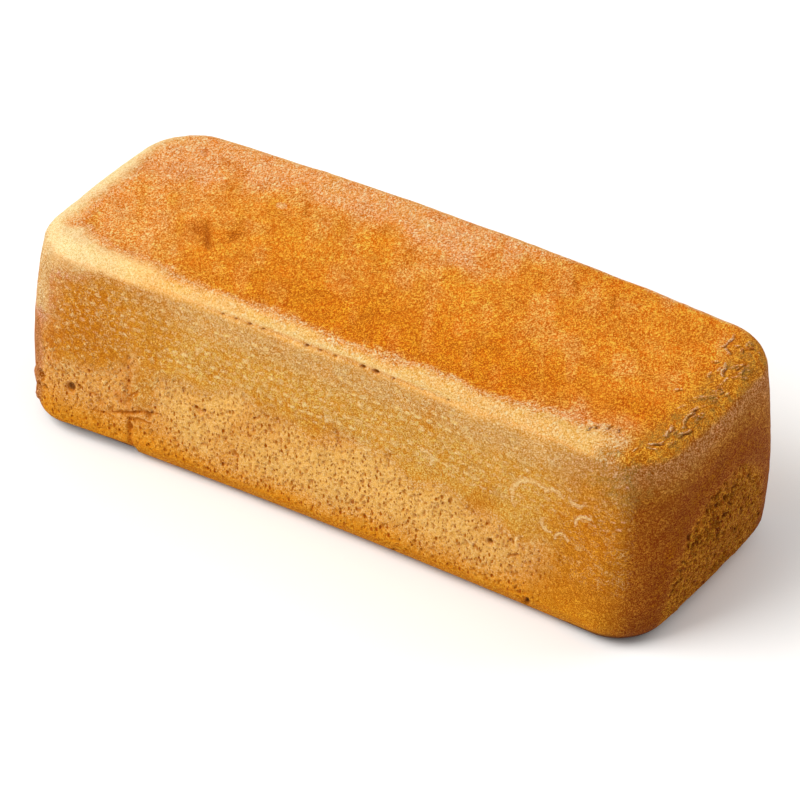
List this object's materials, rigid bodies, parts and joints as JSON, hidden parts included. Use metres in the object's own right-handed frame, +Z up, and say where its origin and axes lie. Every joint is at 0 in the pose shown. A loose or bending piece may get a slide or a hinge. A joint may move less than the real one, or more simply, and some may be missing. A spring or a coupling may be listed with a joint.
{
  "type": "tin loaf of white bread",
  "caption": "Long rectangular white sandwich loaf baked in a closed tin, with a flat golden top, pale shoulders and a porous tan side.",
  "frame": {"origin": "centre of the bounding box of the loaf's flat base", "axes": "+X along the loaf's length, +Y across its width towards the back wall, +Z up out of the base"},
  "size_m": [0.33, 0.118, 0.1],
  "materials": {
    "crust": "dry golden-brown bread crust, matt with a faint sheen on the top"
  },
  "bodies": {
    "root": {"loaf": "crust"}
  },
  "joints": []
}
